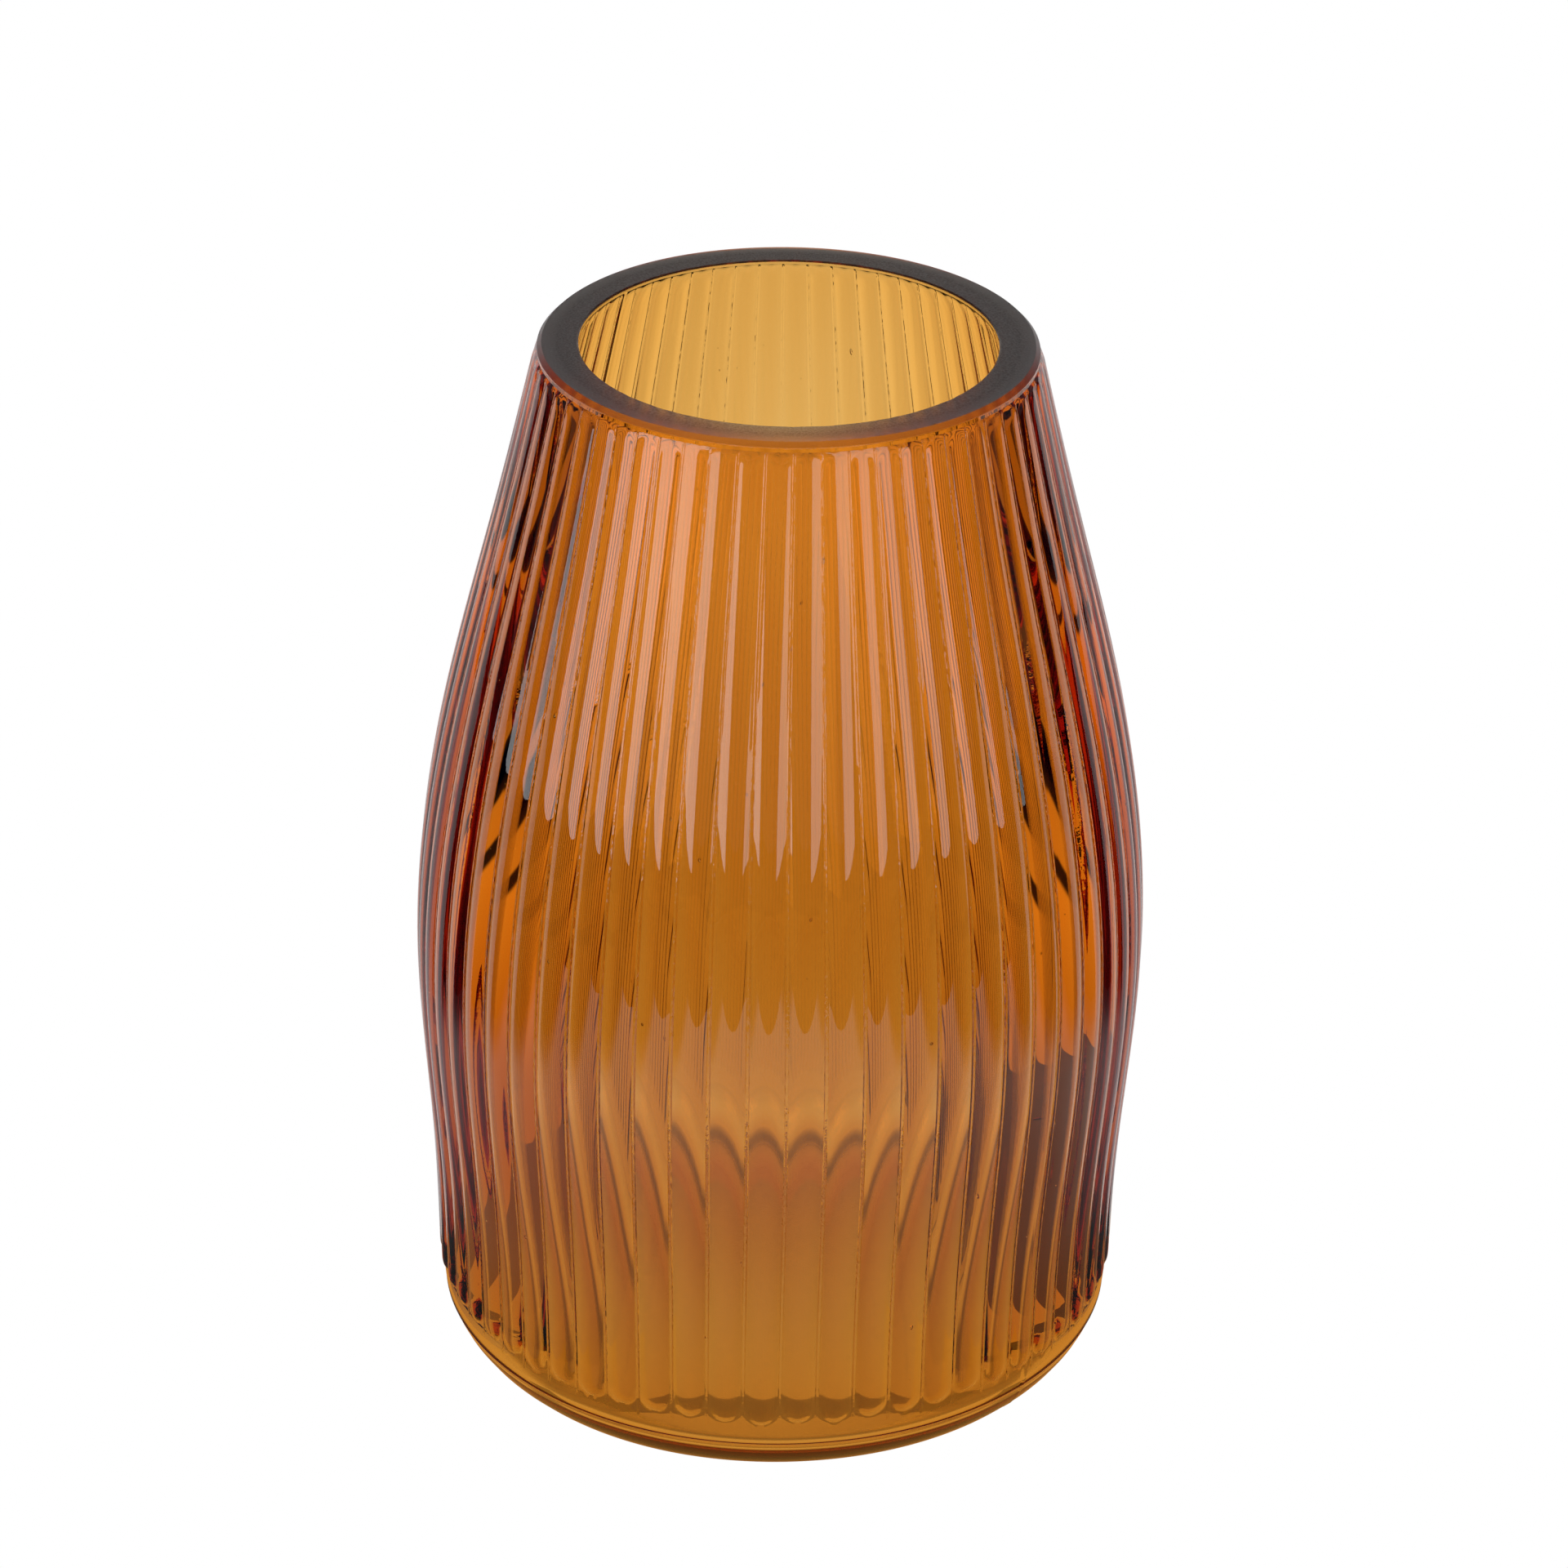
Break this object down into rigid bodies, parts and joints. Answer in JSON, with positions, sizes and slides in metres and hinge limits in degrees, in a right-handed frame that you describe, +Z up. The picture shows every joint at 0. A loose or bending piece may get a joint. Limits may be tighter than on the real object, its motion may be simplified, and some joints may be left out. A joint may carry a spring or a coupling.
{
  "type": "vase",
  "caption": "Amber glass vase: a ribbed barrel on a smooth rounded heel, narrowing to a thick, flat ground mouth.",
  "frame": {"origin": "centre of the foot, on the surface that the vase stands on", "axes": "+Z up along the vase's axis, out of the mouth; +Y points away from the viewer of the front"},
  "size_m": [0.1338, 0.1338, 0.2],
  "materials": {
    "amber_glass": "fire-polished, glossy",
    "ground_glass": "sawn flat and ground matt"
  },
  "bodies": {
    "root": {"base_disc": "amber_glass", "heel_ring": "amber_glass", "belly_wall": "amber_glass", "shoulder_wall": "amber_glass", "ground_rim": "ground_glass"}
  },
  "joints": []
}
